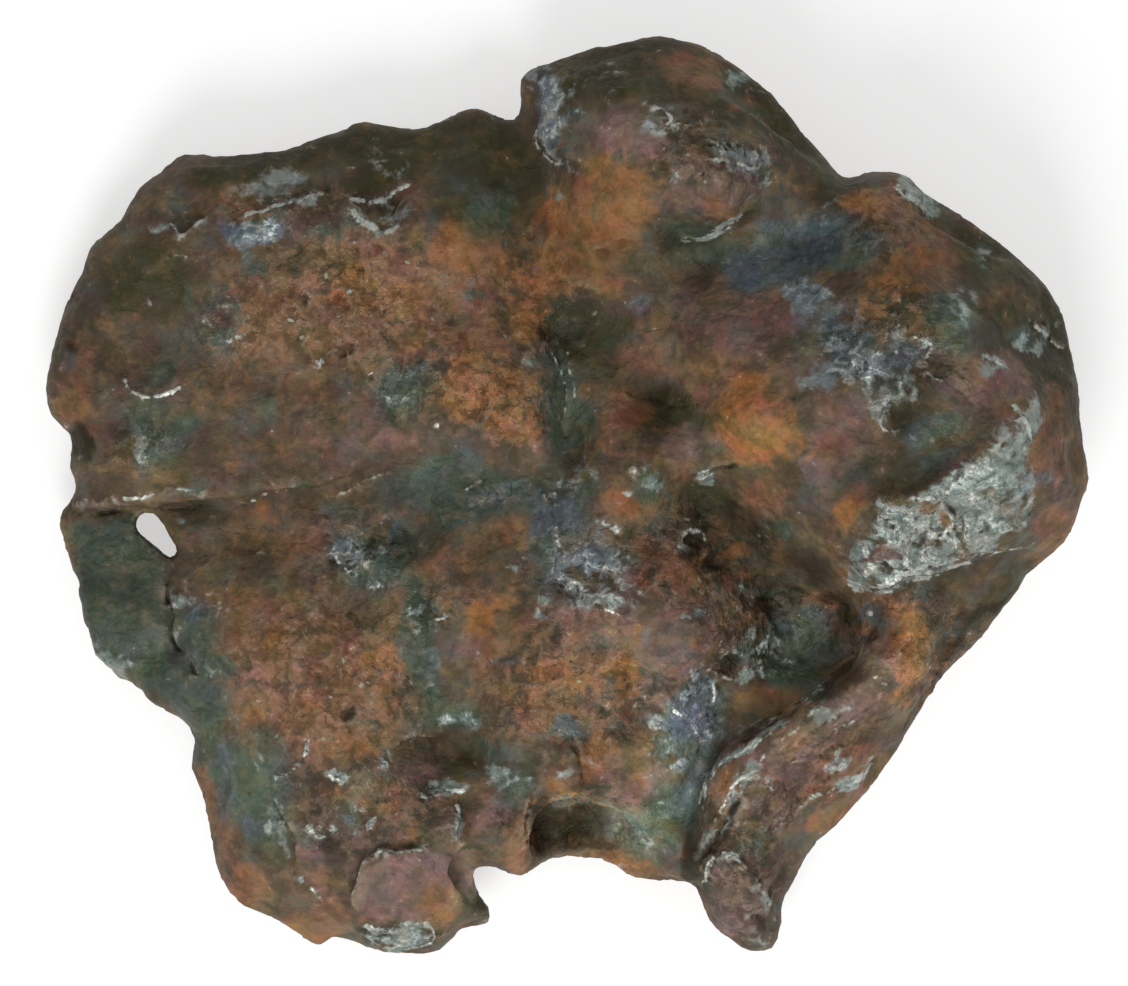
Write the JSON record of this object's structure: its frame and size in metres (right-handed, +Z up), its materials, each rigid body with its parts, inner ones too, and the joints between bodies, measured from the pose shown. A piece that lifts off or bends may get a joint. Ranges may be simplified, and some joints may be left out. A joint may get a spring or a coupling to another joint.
{
  "type": "iron meteorite",
  "caption": "Weathered iron meteorite lump, broad and flattened, with rolled lobes, a folded limb ending in a hook, thumbprint hollows and a thin flange with a hole.",
  "frame": {"origin": "on the surface it lies on, under the middle of its bounding box", "axes": "+X towards the thick lobes, away from the flange with the hole; +Y away from the broken edge and the hook; +Z up, out of the broad face"},
  "size_m": [0.2388, 0.2103, 0.0652],
  "materials": {
    "iron_crust": "rust-brown oxide crust with grey-green and slate patches, and worn silvery metal on the edges"
  },
  "bodies": {
    "root": {"meteorite": "iron_crust"}
  },
  "joints": []
}
